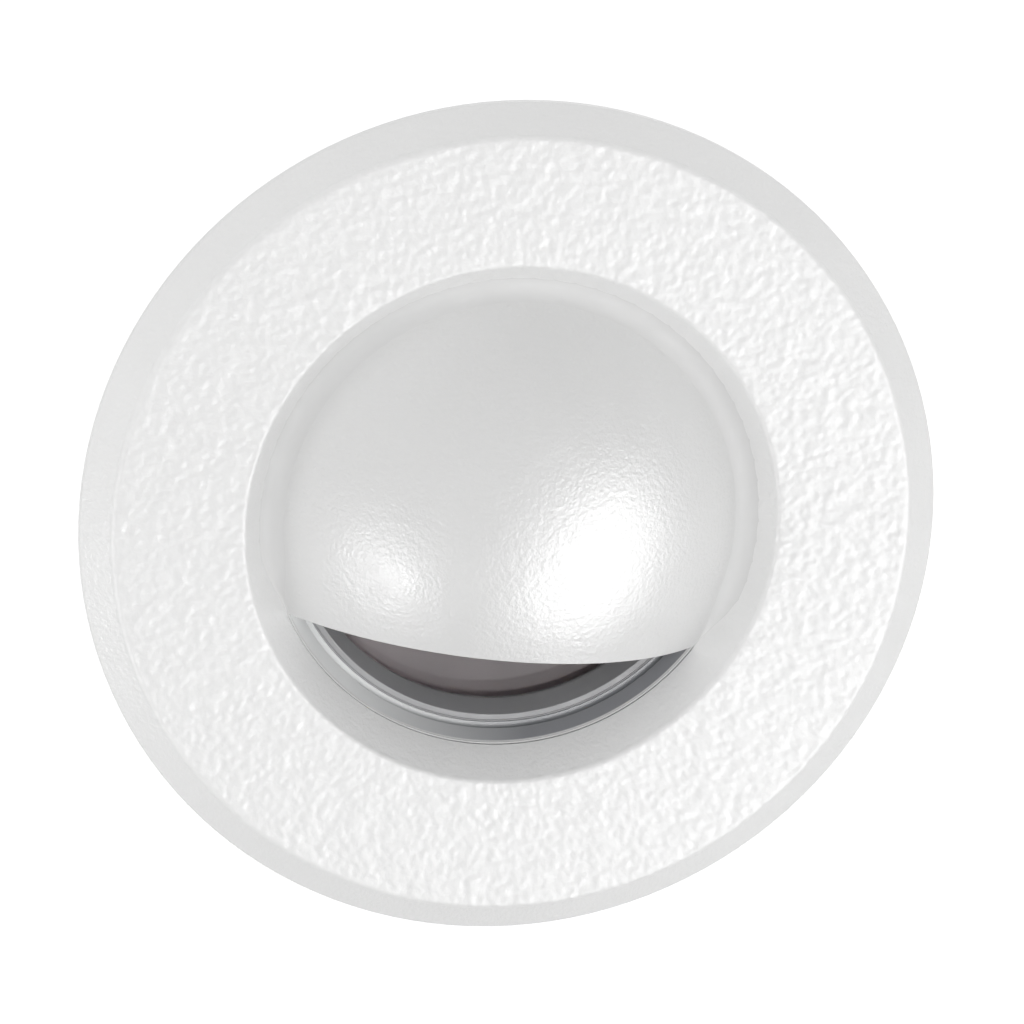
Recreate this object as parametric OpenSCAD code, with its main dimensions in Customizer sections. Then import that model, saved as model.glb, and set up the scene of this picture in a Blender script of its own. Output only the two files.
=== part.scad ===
// Recessed eyelid path light: round textured flange, domed hood with a crescent
// slot along its lower side, glazed LED chamber, finned body and two sprung
// clips that hold it in a round hole in a wall.
// The light's axis is Y. The front faces -Y, Z is up, and Y = 0 is the wall.

/* [Front bezel] */
// Outer diameter of the flange
flange_d = 80; // [76:1:100]
// Height of the flange's face above the wall
flange_t = 3.0; // [2.6:0.1:4]
// Height of the upright edge of the flange
rim_t = 0.7; // [0.4:0.1:1.2]
// Width of the sloping border of the flange
bevel_w = 2.85; // [1.5:0.05:4]
// Diameter of the recess at the flange's face
recess_d = 49.9; // [48.5:0.1:52]
// Diameter of the throat where the hood comes through
throat_d = 44.4; // [43:0.1:45]
// Depth of the throat below the flange's face
throat_depth = 3.0; // [2.6:0.1:3.6]
// Thickness of the flange's front wall over the hollow behind it
face_wall = 2.4; // [1.6:0.1:2.5]
// Diameter of the part that goes into the hole in the wall
spigot_d = 62; // [61.4:0.1:64]
// Wall of that part
spigot_wall = 2; // [1.5:0.1:2.4]
// Length of the bezel's spigot behind the wall's face
spigot_len = 8; // [7.6:0.1:12]
// Outer diameter of the foam gasket on the flange's back
wall_gasket_d = 75.8; // [70:0.1:76]
// Width of that gasket
wall_gasket_w = 5.3; // [3:0.1:5.5]
// Thickness of that gasket, sunk into its groove
wall_gasket_t = 1; // [0.6:0.1:1.2]

/* [Eyelid hood] */
// Radius of the hood's dome
hood_r = 27; // [26:0.1:29]
// Wall of the dome
hood_wall = 1.6; // [1.2:0.1:1.9]
// Height of the slot's upper edge below the light's axis
slot_drop = 11.1; // [8:0.1:14]
// Step from the throat's edge in to the hole in the hood's foot
sill_step = 1.6; // [1.4:0.1:1.8]
// Width of the hood's foot beyond the throat
foot_land = 3.7; // [2.8:0.1:3.8]
// Thickness of the hood's foot
foot_t = 0.8; // [0.6:0.1:1.2]
// Depth of the shoulder that the foot seats on, behind the wall's face
shoulder_depth = 2.4; // [2.2:0.1:2.8]

/* [Glass and glare ring] */
// Width of the glare ring's slope, from the hood's foot in to its hole
glare_slope = 1.7; // [1.4:0.1:3]
// Thickness of the glare ring's rim
glare_t = 0.8; // [0.6:0.1:1.2]
// Width of the glass beyond the glare ring's hole
glass_land = 4.8; // [4.6:0.1:4.9]
// Thickness of the glass
glass_t = 2.5; // [2:0.1:3]
// Thickness of each glass gasket
glass_gasket_t = 0.6; // [0.4:0.1:0.8]

/* [Housing] */
// Diameter of the body inside its fins
core_d = 48; // [47.6:0.1:49]
// Diameter over the tips of the fins
fin_d = 55; // [52:0.1:56]
// Thickness of a fin
fin_t = 1.5; // [1:0.1:2]
// Fins in each of the four groups
fins_per_group = 6; // [3:1:7]
// Angle between neighbouring fins
fin_pitch = 7; // [6.5:0.1:7]
// Thickness of the body's front flange
body_flange_t = 3; // [2:0.1:3.5]
// Thickness of the gasket between bezel and body
body_gasket_t = 1; // [0.6:0.1:1.5]
// Wall of the LED chamber
chamber_wall = 3.1; // [3:0.1:3.4]
// Depth from the wall's face to the floor of the LED chamber
floor_depth = 18; // [17.5:0.1:20]
// Thickness of that floor, which takes the heat
floor_t = 3.5; // [3.4:0.1:4]
// Wall of the wiring chamber behind the floor
wiring_wall = 3; // [2.9:0.1:3.1]
// Depth of the wiring chamber
wiring_depth = 12.5; // [12.4:0.1:14]

/* [LED and reflector] */
// Thickness of the reflector
reflector_wall = 1.2; // [0.8:0.1:1.6]
// Thickness of the LED board
led_board_t = 1.6; // [1:0.1:2]
// Thickness of the pad under the LED board
thermal_pad_t = 0.4; // [0.2:0.1:0.8]
// Side of the square LED package
led_side = 12; // [8:0.5:13]
// Diameter of the phosphor disc
led_spot_d = 9; // [6:0.5:10]
// Thickness of the LED package
led_package_t = 0.8; // [0.6:0.1:1]
// Height of the LED package's light spot above it
led_spot_t = 0.5; // [0.3:0.1:0.6]

/* [Driver] */
// Diameter of the round driver board
driver_board_d = 37; // [36:0.5:38]
// Thickness of the driver board
driver_board_t = 1.6; // [1:0.1:2]
// Height of the posts under the driver board
post_h = 2.5; // [2:0.1:3]
// Diameter of the coil's flanges
coil_d = 9; // [7:0.5:10]
// Height of the coil
coil_h = 5.8; // [4:0.1:7]
// Diameter of each capacitor
capacitor_d = 6.3; // [5:0.1:6.5]
// Height of each capacitor
capacitor_h = 7; // [6:0.1:7.2]

/* [Rear cover and cable gland] */
// Thickness of the rear cover's gasket
cover_gasket_t = 0.8; // [0.6:0.1:1.2]
// Thickness of the rear cover
cover_t = 3; // [2.4:0.1:4]
// Diameter of the cable that the gland seals on
cable_d = 6; // [5:0.1:6.6]
// Diameter of the gland's thread
gland_thread_d = 12; // [11.5:0.1:13]
// Width of the gland's hexagon across its flats
gland_hex = 15; // [14.5:0.1:17]
// Length of the gland's cap
gland_cap_len = 11; // [10:0.5:14]

/* [Screws] */
// Diameter of the screws that hold the bezel and the covers
screw_d = 2.5; // [2:0.1:2.6]
// Diameter of their heads
screw_head_d = 4.4; // [4:0.1:4.6]
// Height of their heads
screw_head_h = 1.6; // [1.2:0.1:2]

/* [Spring clips] */
// Distance of each clip's pivot from the light's axis
pivot_x = 28.4; // [28.2:0.1:28.6]
// Distance of each clip's pivot ahead of the body's end
pivot_ahead = 8; // [7.6:0.1:8.6]
// Angle between the arm at rest and straight forward
arm_rest_angle = 20; // [16:1:21]
// Length of the arm from its pivot
arm_len = 19.7; // [18:0.1:20]
// Thickness of the arm's steel
arm_t = 1; // [0.8:0.1:1.2]
// Width of the arm between its side lugs
arm_w = 8.4; // [6:0.1:9]
// Diameter of the pivot pin
pin_d = 2.2; // [1.8:0.1:2.2]
// Diameter of the spring's wire
wire_d = 0.8; // [0.6:0.05:0.8]
// Radius of the spring's coil at the middle of the wire
coil_r = 1.8; // [1.75:0.05:1.8]
// Distance from curl to curl
coil_rise = 1.27; // [1.25:0.01:1.35]
// Whole curls in the spring
coil_turns = 5; // [3:1:5]
// Thickness of the clip bracket's steel
bracket_t = 0.8; // [0.6:0.05:0.8]
// Width inside the bracket's two ears
ear_gap = 12; // [11.8:0.1:12.2]

/* [Hidden] */
$fn = 96;

white_paint = "whitesmoke";
cast_metal = "silver";
steel = "lightsteelblue";
dark_rubber = "dimgray";

flange_r = flange_d / 2;
recess_r = recess_d / 2;
throat_r = throat_d / 2;
spigot_r = spigot_d / 2;
core_r = core_d / 2;
wiring_r = core_r - wiring_wall;
foot_r = throat_r + foot_land;
foot_bore_r = throat_r - sill_step;
glare_bore_r = foot_bore_r - glare_slope;
glass_r = glare_bore_r + glass_land;
driver_r = driver_board_d / 2;
chamber_r = core_r - chamber_wall;
fit_gap = 0.1;
thread_gap = 0.05;
seat_gap = 0.1;
edge_round = 0.6;

// Depths behind the wall's face, from front to back
throat_y = throat_depth - flange_t;
sill_y = throat_y + 1.6;
foot_y = shoulder_depth + foot_t;
glare_y = foot_y + glare_t;
glare_play = 0.15;
glare_crest = 0.55;
glare_edge = 0.3;
glare_round = 0.1;
glass_front_y = glare_y + glass_gasket_t;
glass_rear_y = glass_front_y + glass_t;
ledge_y = glass_rear_y + glass_gasket_t;
body_front_y = spigot_len + body_gasket_t;
body_flange_y = body_front_y + body_flange_t;
reflector_seat_y = ledge_y + 1.2;
board_y = floor_depth - thermal_pad_t - led_board_t;
floor_back_y = floor_depth + floor_t;
driver_y = floor_back_y + post_h;
driver_back_y = driver_y + driver_board_t;
body_end_y = floor_back_y + wiring_depth;
pivot_y = body_end_y - pivot_ahead;
cover_y = body_end_y + cover_gasket_t;
cover_back_y = cover_y + cover_t;

// The dome passes through the throat's edge
dome_y = throat_y + sqrt(hood_r * hood_r - throat_r * throat_r);
dome_front_y = dome_y - hood_r;

// The hood's foot is clamped between the bezel's shoulder and the glare ring
shoulder_r = foot_r + 0.4;
spigot_inner_r = spigot_r - spigot_wall;
collar_inner_r = glass_r + 0.3;
collar_outer_r = shoulder_r - 0.3;
collar_front_y = glare_y + fit_gap;
glare_rim_r = collar_inner_r;
reflector_rim_r = chamber_r + 0.9;

// Screws that pull the body to the bezel, and screws of the rear cover
screw_r = screw_d / 2;
screw_head_r = screw_head_d / 2;
bezel_screw_angles = [90, 210, 330];
bezel_boss_r = 2.1;
bezel_boss_drop = 0.4;
bezel_screw_at = shoulder_r + bezel_boss_r;
bezel_screw_depth = 5.5;
cover_screw_angles = [30, 150, 270];
cover_boss_r = 3;
cover_screw_at = core_r - 1.5;
cover_screw_depth = 9;
board_screw_angles = [90, 210, 330];
led_screw_at = 15;
post_at = driver_r - 3.3;
post_r = 3;
lead_angle = 30;
lead_at = 13.5;
lead_hole_r = 2.5;
lead_spacing = 2.2;
lead_r = 0.6;
coil_angle = 149;
coil_at = 0.64 * driver_r;
capacitor_angles = [28, -5];
capacitor_at = 0.675 * driver_r;
terminal_drop = 0.66 * driver_r;
fin_group_angles = [62, 118, 242, 298];
fin_front_y = body_flange_y + 2;
fin_back_y = body_end_y - 2;

// Cable gland
gland_thread_r = gland_thread_d / 2;
cable_r = cable_d / 2;
gland_bore_r = cable_r + 1.3;
gland_washer_t = 1;
gland_washer_y = cover_back_y + gland_washer_t;
gland_hex_t = 4;
gland_neck_y = gland_washer_y + gland_hex_t;
gland_neck_len = 6;
gland_cap_y = gland_neck_y + 0.5;
gland_cap_back_y = gland_cap_y + gland_cap_len;
gland_nut_t = 2.8;
gland_seal_len = gland_cap_len - 2;

// Spring clips
pin_r = pin_d / 2;
wire_r = wire_d / 2;
pin_gap = 0.06;
leg_gap = 0.25;
land_x = pivot_x - coil_r - wire_r - leg_gap - bracket_t;
plate_x = land_x + bracket_t;
ear_t = 0.7;
ear_half = ear_gap / 2 + ear_t;
eye_r = 1.9;
lug_t = 0.7;
lug_half = ear_gap / 2 - 0.4;
plate_front = 12;
plate_back = 5;
clip_screw_offsets = [3.7, 10];
clip_screw_r = 1.2;
clip_head_r = 1.9;
clip_head_h = 1.3;
clip_screw_len = 3.2;
stop_ahead = 6.2;
stop_t = 0.8;
stop_w = 5;
stop_gap = 0.15;
arm_turn = 180 - arm_rest_angle;
strip_start = 4.2;
foot_len = 7;
foot_wall = 0.9;
foot_side = 0.8;
foot_rib_r = 0.4;
foot_rib_step = 1.5;

// Unit vector along v
function unit(v) = v / norm(v);

// Points of an arc of radius r that rounds corner b between a and c
function corner(a, b, c, r, n = 4) =
    r <= 0 ? [b] :
    let (
        u = unit(a - b),
        v = unit(c - b),
        half = acos(u * v) / 2,
        centre = b + unit(u + v) * r / sin(half),
        p = b + u * r / tan(half) - centre,
        q = b + v * r / tan(half) - centre,
        from = atan2(p.y, p.x),
        turn = (atan2(q.y, q.x) - from + 540) % 360 - 180
    )
    [for (i = [0:n]) centre + r * [cos(from + turn * i / n), sin(from + turn * i / n)]];

// Outline through corners [x, y, rounding radius]
function rounded(pts) =
    let (n = len(pts))
    [for (i = [0:n - 1])
        let (a = pts[(i + n - 1) % n], b = pts[i], c = pts[(i + 1) % n])
        each corner([a.x, a.y], [b.x, b.y], [c.x, c.y], b.z)];

// Turns an outline of [radius, depth] about the light's axis
module spin(pts) {
    rotate([-90, 0, 0])
        rotate_extrude()
            polygon(pts);
}

// Round bar along the light's axis between two depths
module bar(r, from, to) {
    translate([0, from, 0])
        rotate([-90, 0, 0])
            cylinder(r = r, h = to - from);
}

// Hexagonal bar along the light's axis, by its width across flats
module hex_bar(flats, from, to) {
    translate([0, from, 0])
        rotate([-90, 0, 0])
            cylinder(r = flats / 2 / cos(30), h = to - from, $fn = 6);
}

// Puts its children at each angle, anticlockwise from the front, at distance r
module around(angles, r) {
    for (a = angles)
        rotate([0, -a, 0])
            translate([r, 0, 0])
                children();
}

// Pan-head screw along the axis, with its head's seat at depth y, pointing forward
module screw_forward(y, length) {
    bar(screw_r, y - length, y + 0.01);
    spin(rounded([
        [0, y, 0],
        [screw_head_r, y, 0],
        [screw_head_r, y + screw_head_h, 0.6],
        [0, y + screw_head_h, 0]
    ]));
}

// Flange, recess and spigot of the bezel, as one casting
module front_bezel() {
    color(white_paint)
    difference() {
        union() {
            spin(rounded([
                [flange_r, 0, 0],
                [flange_r, -rim_t, 0.3],
                [flange_r - bevel_w, -flange_t, edge_round],
                [recess_r, -flange_t, edge_round],
                [throat_r, throat_y, 0],
                [throat_r, shoulder_depth, 0],
                [shoulder_r, shoulder_depth, 0],
                [shoulder_r, face_wall - flange_t, 0.5],
                [spigot_inner_r, face_wall - flange_t, 0.5],
                [spigot_inner_r, spigot_len, 0],
                [spigot_r, spigot_len, 0],
                [spigot_r, 0, 0]
            ]));
            around(bezel_screw_angles, bezel_screw_at)
                bar(bezel_boss_r, face_wall - flange_t - 0.5, spigot_len - bezel_boss_drop);
        }
        translate([0, dome_y, 0])
            sphere(r = hood_r + seat_gap);
        around(bezel_screw_angles, bezel_screw_at)
            bar(screw_r + thread_gap, spigot_len - bezel_screw_depth - 0.4, spigot_len + 1);
        difference() {
            bar(wall_gasket_d / 2 + fit_gap, -wall_gasket_t, 1);
            bar(wall_gasket_d / 2 - wall_gasket_w - fit_gap, -wall_gasket_t - 1, 2);
        }
    }
}

// Space that the slot takes out of the hood
module slot_space() {
    intersection() {
        translate([-foot_r, dome_front_y - 1, -foot_r - slot_drop])
            cube([2 * foot_r, sill_y - dome_front_y + 2, foot_r]);
        spin([
            [0, dome_front_y - 1],
            [foot_r, dome_front_y - 1],
            [foot_r, throat_y + 0.1],
            [throat_r, throat_y + 0.1],
            [foot_bore_r, sill_y],
            [0, sill_y]
        ]);
    }
}

// Domed hood with its clamped foot and the crescent slot
module eyelid_hood() {
    color(white_paint)
    difference() {
        union() {
            intersection() {
                translate([0, dome_y, 0])
                    sphere(r = hood_r);
                bar(hood_r, dome_front_y - 1, foot_y);
            }
            bar(foot_r, shoulder_depth, foot_y);
        }
        intersection() {
            translate([0, dome_y, 0])
                sphere(r = hood_r - hood_wall);
            bar(hood_r, dome_front_y, sill_y);
        }
        bar(foot_bore_r, sill_y - 1, foot_y + 1);
        slot_space();
    }
}

// Sloping ring between the hood's foot and the glass
module glare_ring() {
    color("darkgray")
        spin(rounded([
            [glare_bore_r, glare_y, 0],
            [glare_bore_r, foot_y + glare_edge, glare_round],
            [foot_bore_r - glare_play - glare_crest, sill_y + fit_gap, glare_round],
            [foot_bore_r - glare_play, sill_y + fit_gap, glare_round],
            [foot_bore_r - glare_play, foot_y, 0],
            [glare_rim_r, foot_y, 0],
            [glare_rim_r, glare_y, 0]
        ]));
}

// Flat ring between two radii and two depths
module flat_ring(inner, outer, from, to) {
    spin([[inner, from], [outer, from], [outer, to], [inner, to]]);
}

module glass_front_gasket() {
    color(dark_rubber)
        flat_ring(glare_bore_r + 0.8, glass_r, glare_y, glass_front_y);
}

module cover_glass() {
    color("lightcyan", 0.4)
        spin(rounded([
            [0, glass_front_y, 0],
            [glass_r, glass_front_y, 0.3],
            [glass_r, glass_rear_y, 0.3],
            [0, glass_rear_y, 0]
        ]));
}

module glass_rear_gasket() {
    color(dark_rubber)
        flat_ring(reflector_rim_r + 0.2, glass_r, glass_rear_y, ledge_y);
}

// Conical reflector that stands on the LED board
module reflector_cup() {
    small_r = led_side / 2 / cos(45) + 0.6;
    big_r = chamber_r - 1.4;
    waist_y = reflector_seat_y + 0.37 * (board_y - reflector_seat_y);
    color("gainsboro")
        spin([
            [small_r, board_y],
            [small_r, board_y - 1],
            [big_r - 3.2, waist_y],
            [big_r, reflector_seat_y - 1],
            [reflector_rim_r - fit_gap, reflector_seat_y - 1],
            [reflector_rim_r - fit_gap, reflector_seat_y],
            [big_r + reflector_wall * 0.8, reflector_seat_y],
            [big_r - 3.2 + reflector_wall, waist_y + 0.4],
            [small_r + reflector_wall, board_y - 0.8],
            [small_r + reflector_wall, board_y]
        ]);
}

module wall_gasket() {
    color(dark_rubber)
        flat_ring(wall_gasket_d / 2 - wall_gasket_w, wall_gasket_d / 2, -wall_gasket_t, 0);
}

module body_gasket() {
    color(dark_rubber)
    difference() {
        union() {
            flat_ring(spigot_inner_r, spigot_r - 0.2, spigot_len, body_front_y);
            around(bezel_screw_angles, bezel_screw_at)
                bar(bezel_boss_r, spigot_len, body_front_y);
        }
        around(bezel_screw_angles, bezel_screw_at)
            bar(screw_r + fit_gap, spigot_len - 1, body_front_y + 1);
    }
}

// Cooling fins in four groups, clear of the clips and the screws
module cooling_fins() {
    for (group = fin_group_angles, i = [0:fins_per_group - 1])
        rotate([0, -(group + (i - (fins_per_group - 1) / 2) * fin_pitch), 0])
            translate([core_r - 1, fin_front_y, -fin_t / 2])
                rotate([90, 0, 90])
                    linear_extrude(fin_d / 2 - core_r + 1)
                        polygon(rounded([
                            [0, 0, 0],
                            [fin_back_y - fin_front_y, 0, 0],
                            [fin_back_y - fin_front_y, fin_t, 0],
                            [0, fin_t, 0]
                        ]));
}

// Body with the LED chamber in front and the wiring chamber behind
module housing() {
    color(cast_metal)
    difference() {
        union() {
            spin(rounded([
                [0, floor_depth, 0],
                [chamber_r, floor_depth, 0.8],
                [chamber_r, reflector_seat_y, 0],
                [reflector_rim_r, reflector_seat_y, 0],
                [reflector_rim_r, ledge_y, 0],
                [collar_inner_r, ledge_y, 0],
                [collar_inner_r, collar_front_y, 0],
                [collar_outer_r, collar_front_y, 0.3],
                [collar_outer_r, body_front_y, 0],
                [spigot_r, body_front_y, 0],
                [spigot_r, body_flange_y, 0.5],
                [core_r, body_flange_y, 0.8],
                [core_r, body_end_y, 0],
                [wiring_r, body_end_y, 0],
                [wiring_r, floor_back_y, 0.8],
                [0, floor_back_y, 0]
            ]));
            cooling_fins();
            around(cover_screw_angles, cover_screw_at)
                bar(cover_boss_r, floor_back_y - 0.5, body_end_y);
            around(board_screw_angles, post_at)
                bar(post_r, floor_back_y - 0.5, driver_y);
            for (side = [-1, 1])
                clip_pad(side);
        }
        around(bezel_screw_angles, bezel_screw_at)
            bar(screw_r + fit_gap, body_front_y - 1, body_flange_y + 1);
        around(cover_screw_angles, cover_screw_at)
            bar(screw_r + thread_gap, body_end_y - cover_screw_depth, body_end_y + 1);
        around(board_screw_angles, led_screw_at)
            bar(screw_r + thread_gap, floor_depth - 1, floor_depth + 3);
        around(board_screw_angles, post_at)
            bar(screw_r + thread_gap, floor_back_y + 0.3, driver_y + 1);
        around([lead_angle], lead_at)
            bar(lead_hole_r, floor_depth - 1, floor_back_y + 1);
        for (side = [-1, 1])
            clip_holes(side);
    }
}

// Flat pad that a clip's bracket seats on
module clip_pad(side) {
    clip_side(side)
        translate([core_r - 2, pivot_y - plate_front - 0.4, -ear_half - 0.5])
            cube([land_x - core_r + 2, plate_front + plate_back + 0.8, 2 * ear_half + 1]);
}

// Holes for the two screws of a clip's bracket
module clip_holes(side) {
    clip_side(side)
        for (ahead = clip_screw_offsets)
            translate([land_x - clip_screw_len, pivot_y - ahead, 0])
                rotate([0, 90, 0])
                    cylinder(r = clip_screw_r + thread_gap, h = clip_screw_len + 1);
}

module bezel_screws() {
    color(steel)
    around(bezel_screw_angles, bezel_screw_at)
        screw_forward(body_flange_y, bezel_screw_depth + body_gasket_t + body_flange_t);
}

module thermal_pad() {
    color("lightgray")
    difference() {
        bar(chamber_r - 1.2, floor_depth - thermal_pad_t, floor_depth);
        around(board_screw_angles, led_screw_at)
            bar(screw_r + 0.2, board_y - 1, floor_depth + 1);
        around([lead_angle], lead_at)
            bar(lead_hole_r, board_y - 1, floor_depth + 1);
    }
}

module led_board() {
    color("ivory")
    difference() {
        bar(chamber_r - 0.8, board_y, board_y + led_board_t);
        around(board_screw_angles, led_screw_at)
            bar(screw_r + 0.2, board_y - 1, floor_depth + 1);
        around([lead_angle], lead_at)
            bar(lead_hole_r, board_y - 1, floor_depth + 1);
    }
}

// Square LED package with its round phosphor
module led_package() {
    color("khaki") {
        translate([-led_side / 2, board_y - led_package_t, -led_side / 2])
            cube([led_side, led_package_t, led_side]);
        bar(led_spot_d / 2, board_y - led_package_t - led_spot_t, board_y - led_package_t + fit_gap);
    }
}

module led_board_screws() {
    color(steel)
    around(board_screw_angles, led_screw_at)
        translate([0, board_y, 0])
            rotate([0, 0, 180])
                screw_forward(0, led_board_t + thermal_pad_t + 2.6);
}

// Two leads from the driver to the LED board, through the floor
module led_leads() {
    color("firebrick")
    around([lead_angle], lead_at)
        for (side = [-0.5, 0.5])
            translate([0, 0, side * lead_spacing])
                bar(lead_r, board_y - 1, driver_y);
}

module driver_board() {
    color("darkgreen")
    difference() {
        bar(driver_r, driver_y, driver_back_y);
        around(board_screw_angles, post_at)
            bar(screw_r + 0.2, driver_y - 1, driver_back_y + 1);
    }
}

// Wound inductor on its flanged core
module driver_coil() {
    rim_r = coil_d / 2;
    winding_r = rim_r - 0.7;
    rim = 0.9;
    color("saddlebrown")
    around([coil_angle], coil_at)
        translate([0, driver_back_y, 0])
            spin(rounded([
                [0, 0, 0],
                [rim_r, 0, 0],
                [rim_r, rim, 0.2],
                [winding_r, rim, 0.2],
                [winding_r, coil_h - rim, 0.2],
                [rim_r, coil_h - rim, 0.2],
                [rim_r, coil_h, 0.2],
                [0, coil_h, 0]
            ]));
}

module driver_capacitors() {
    can_r = capacitor_d / 2;
    color("navy")
    around(capacitor_angles, capacitor_at)
        translate([0, driver_back_y, 0])
            spin(rounded([
                [0, 0, 0],
                [can_r, 0, 0.3],
                [can_r, 1, 0.2],
                [can_r - 0.3, 1.3, 0.2],
                [can_r, 1.6, 0.2],
                [can_r, capacitor_h, 0.4],
                [0, capacitor_h, 0]
            ]));
}

// Two-way terminal block with its wire holes and screw wells
module terminal_block() {
    block_w = 10;
    block_h = 7;
    block_d = 7.4;
    color("seagreen")
    translate([0, driver_back_y, -terminal_drop])
    difference() {
        translate([-block_w / 2, 0, -block_h / 2])
            cube([block_w, block_d, block_h]);
        for (side = [-1, 1]) {
            translate([side * block_w / 4, block_d - 2.4, 0])
                rotate([-90, 0, 0])
                    cylinder(r = 1.7, h = 3);
            translate([side * block_w / 4, 2.6, 0])
                cylinder(r = 1.3, h = block_h);
        }
    }
}

module driver_board_screws() {
    color(steel)
    around(board_screw_angles, post_at)
        screw_forward(driver_back_y, driver_board_t + post_h - 0.6);
}

// Outline of the rear cover and its gasket: a disc with a lobe for each screw
module cover_plan(from, to) {
    bar(core_r, from, to);
    around(cover_screw_angles, cover_screw_at)
        bar(cover_boss_r, from, to);
}

module rear_cover() {
    lip_r = cover_screw_at - cover_boss_r - 0.2;
    color(cast_metal)
    difference() {
        union() {
            cover_plan(cover_y, cover_back_y);
            bar(lip_r, cover_y - 2, cover_y + 0.5);
        }
        bar(lip_r - 1.2, cover_y - 3, cover_y);
        bar(gland_thread_r + fit_gap, cover_y - 3, cover_back_y + 1);
        around(cover_screw_angles, cover_screw_at)
            bar(screw_r + fit_gap, cover_y - 1, cover_back_y + 1);
    }
}

module rear_cover_gasket() {
    color(dark_rubber)
    difference() {
        cover_plan(body_end_y, cover_y);
        bar(cover_screw_at - cover_boss_r, body_end_y - 1, cover_y + 1);
        around(cover_screw_angles, cover_screw_at)
            bar(screw_r + fit_gap, body_end_y - 1, cover_y + 1);
    }
}

module rear_cover_screws() {
    color(steel)
    around(cover_screw_angles, cover_screw_at)
        screw_forward(cover_back_y, cover_t + cover_gasket_t + cover_screw_depth - 1);
}

// Threaded body of the cable gland, with its hexagon
module gland_body() {
    color("black")
    difference() {
        union() {
            bar(gland_thread_r, cover_y - gland_nut_t - 1, gland_washer_y + 0.5);
            hex_bar(gland_hex, gland_washer_y, gland_neck_y);
            bar(gland_thread_r - 0.4, gland_neck_y - 0.5, gland_neck_y + gland_neck_len);
        }
        bar(gland_bore_r, gland_neck_y - 2, gland_neck_y + gland_neck_len + 1);
        bar(cable_r + 0.4, cover_y - gland_nut_t - 2, gland_neck_y);
    }
}

module gland_washer() {
    color(dark_rubber)
        flat_ring(gland_thread_r + fit_gap, gland_hex / 2, cover_back_y, gland_washer_y);
}

module gland_lock_nut() {
    color("black")
    difference() {
        hex_bar(gland_hex, cover_y - gland_nut_t, cover_y);
        bar(gland_thread_r + thread_gap, cover_y - gland_nut_t - 1, cover_y + 1);
    }
}

// Rubber sleeve that closes on the cable
module gland_seal() {
    color(dark_rubber)
        spin(rounded([
            [cable_r, gland_neck_y - 1.8, 0],
            [gland_bore_r - fit_gap, gland_neck_y - 1.8, 0.3],
            [gland_bore_r - fit_gap, gland_neck_y - 1.8 + gland_seal_len, 0.8],
            [cable_r, gland_neck_y - 1.8 + gland_seal_len, 0]
        ]));
}

// Domed cap nut that squeezes the seal
module gland_cap() {
    skirt_len = gland_cap_len * 0.6;
    nut_r = gland_hex / 2;
    color("black")
    difference() {
        intersection() {
            hex_bar(gland_hex, gland_cap_y, gland_cap_back_y);
            spin(rounded([
                [0, gland_cap_y, 0],
                [nut_r / cos(30) - 0.4, gland_cap_y, 0],
                [nut_r / cos(30), gland_cap_y + 0.4, 0],
                [nut_r / cos(30), gland_cap_y + skirt_len, 2],
                [cable_r + 1.2, gland_cap_back_y, 0.5],
                [0, gland_cap_back_y, 0]
            ]));
        }
        bar(gland_thread_r - 0.4 + thread_gap, gland_cap_y - 1, gland_neck_y + gland_neck_len + 0.5);
        bar(gland_bore_r, gland_cap_y, gland_neck_y - 1.8 + gland_seal_len + fit_gap);
        bar(cable_r + 0.3, gland_cap_y, gland_cap_back_y + 1);
    }
}

// Puts its children on the right of the light, or mirrored to its left
module clip_side(side) {
    if (side > 0)
        children();
    else
        mirror([1, 0, 0])
            children();
}

// Plate along Z between two heights, from an outline in X and Y about the pivot
module plate_at_pivot(pts, from, to) {
    translate([pivot_x, pivot_y, from])
        linear_extrude(to - from)
            polygon(pts);
}

// Channel bracket: base plate, two ears and the tongue that stops the arm
module clip_bracket(side) {
    base = land_x - pivot_x;
    ear_foot = 4.2;
    stop_x = pivot_x + (stop_ahead + stop_t) * tan(arm_rest_angle)
        - arm_t / 2 / cos(arm_rest_angle) - stop_gap - stop_t * tan(arm_rest_angle);
    color(steel)
    clip_side(side)
    difference() {
        union() {
            translate([land_x, pivot_y - plate_front, -ear_half])
                cube([bracket_t, plate_front + plate_back, 2 * ear_half]);
            for (low = [-ear_half, ear_half - ear_t]) {
                plate_at_pivot([
                    [base, -ear_foot], [0.4, -eye_r + 0.05], [0.4, eye_r - 0.05], [base, ear_foot]
                ], low, low + ear_t);
                translate([pivot_x, pivot_y, low])
                    cylinder(r = eye_r, h = ear_t);
            }
            translate([plate_x - 0.1, pivot_y - stop_ahead - stop_t, -stop_w / 2])
                cube([stop_x - plate_x + 0.1, stop_t, stop_w]);
        }
        translate([pivot_x, pivot_y, -ear_half - 1])
            cylinder(r = pin_r + 0.02, h = 2 * ear_half + 2);
        for (ahead = clip_screw_offsets)
            translate([land_x - 1, pivot_y - ahead, 0])
                rotate([0, 90, 0])
                    cylinder(r = clip_screw_r + fit_gap, h = bracket_t + 2);
    }
}

module clip_screws(side) {
    color(steel)
    clip_side(side)
    for (ahead = clip_screw_offsets)
        translate([0, pivot_y - ahead, 0])
            rotate([0, 90, 0]) {
                translate([0, 0, plate_x - bracket_t - clip_screw_len + 0.4])
                    cylinder(r = clip_screw_r, h = bracket_t + clip_screw_len);
                translate([0, 0, plate_x])
                    rotate_extrude()
                        polygon(rounded([
                            [0, 0, 0], [clip_head_r, 0, 0], [clip_head_r, clip_head_h, 0.5],
                            [0, clip_head_h, 0]
                        ]));
            }
}

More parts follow.
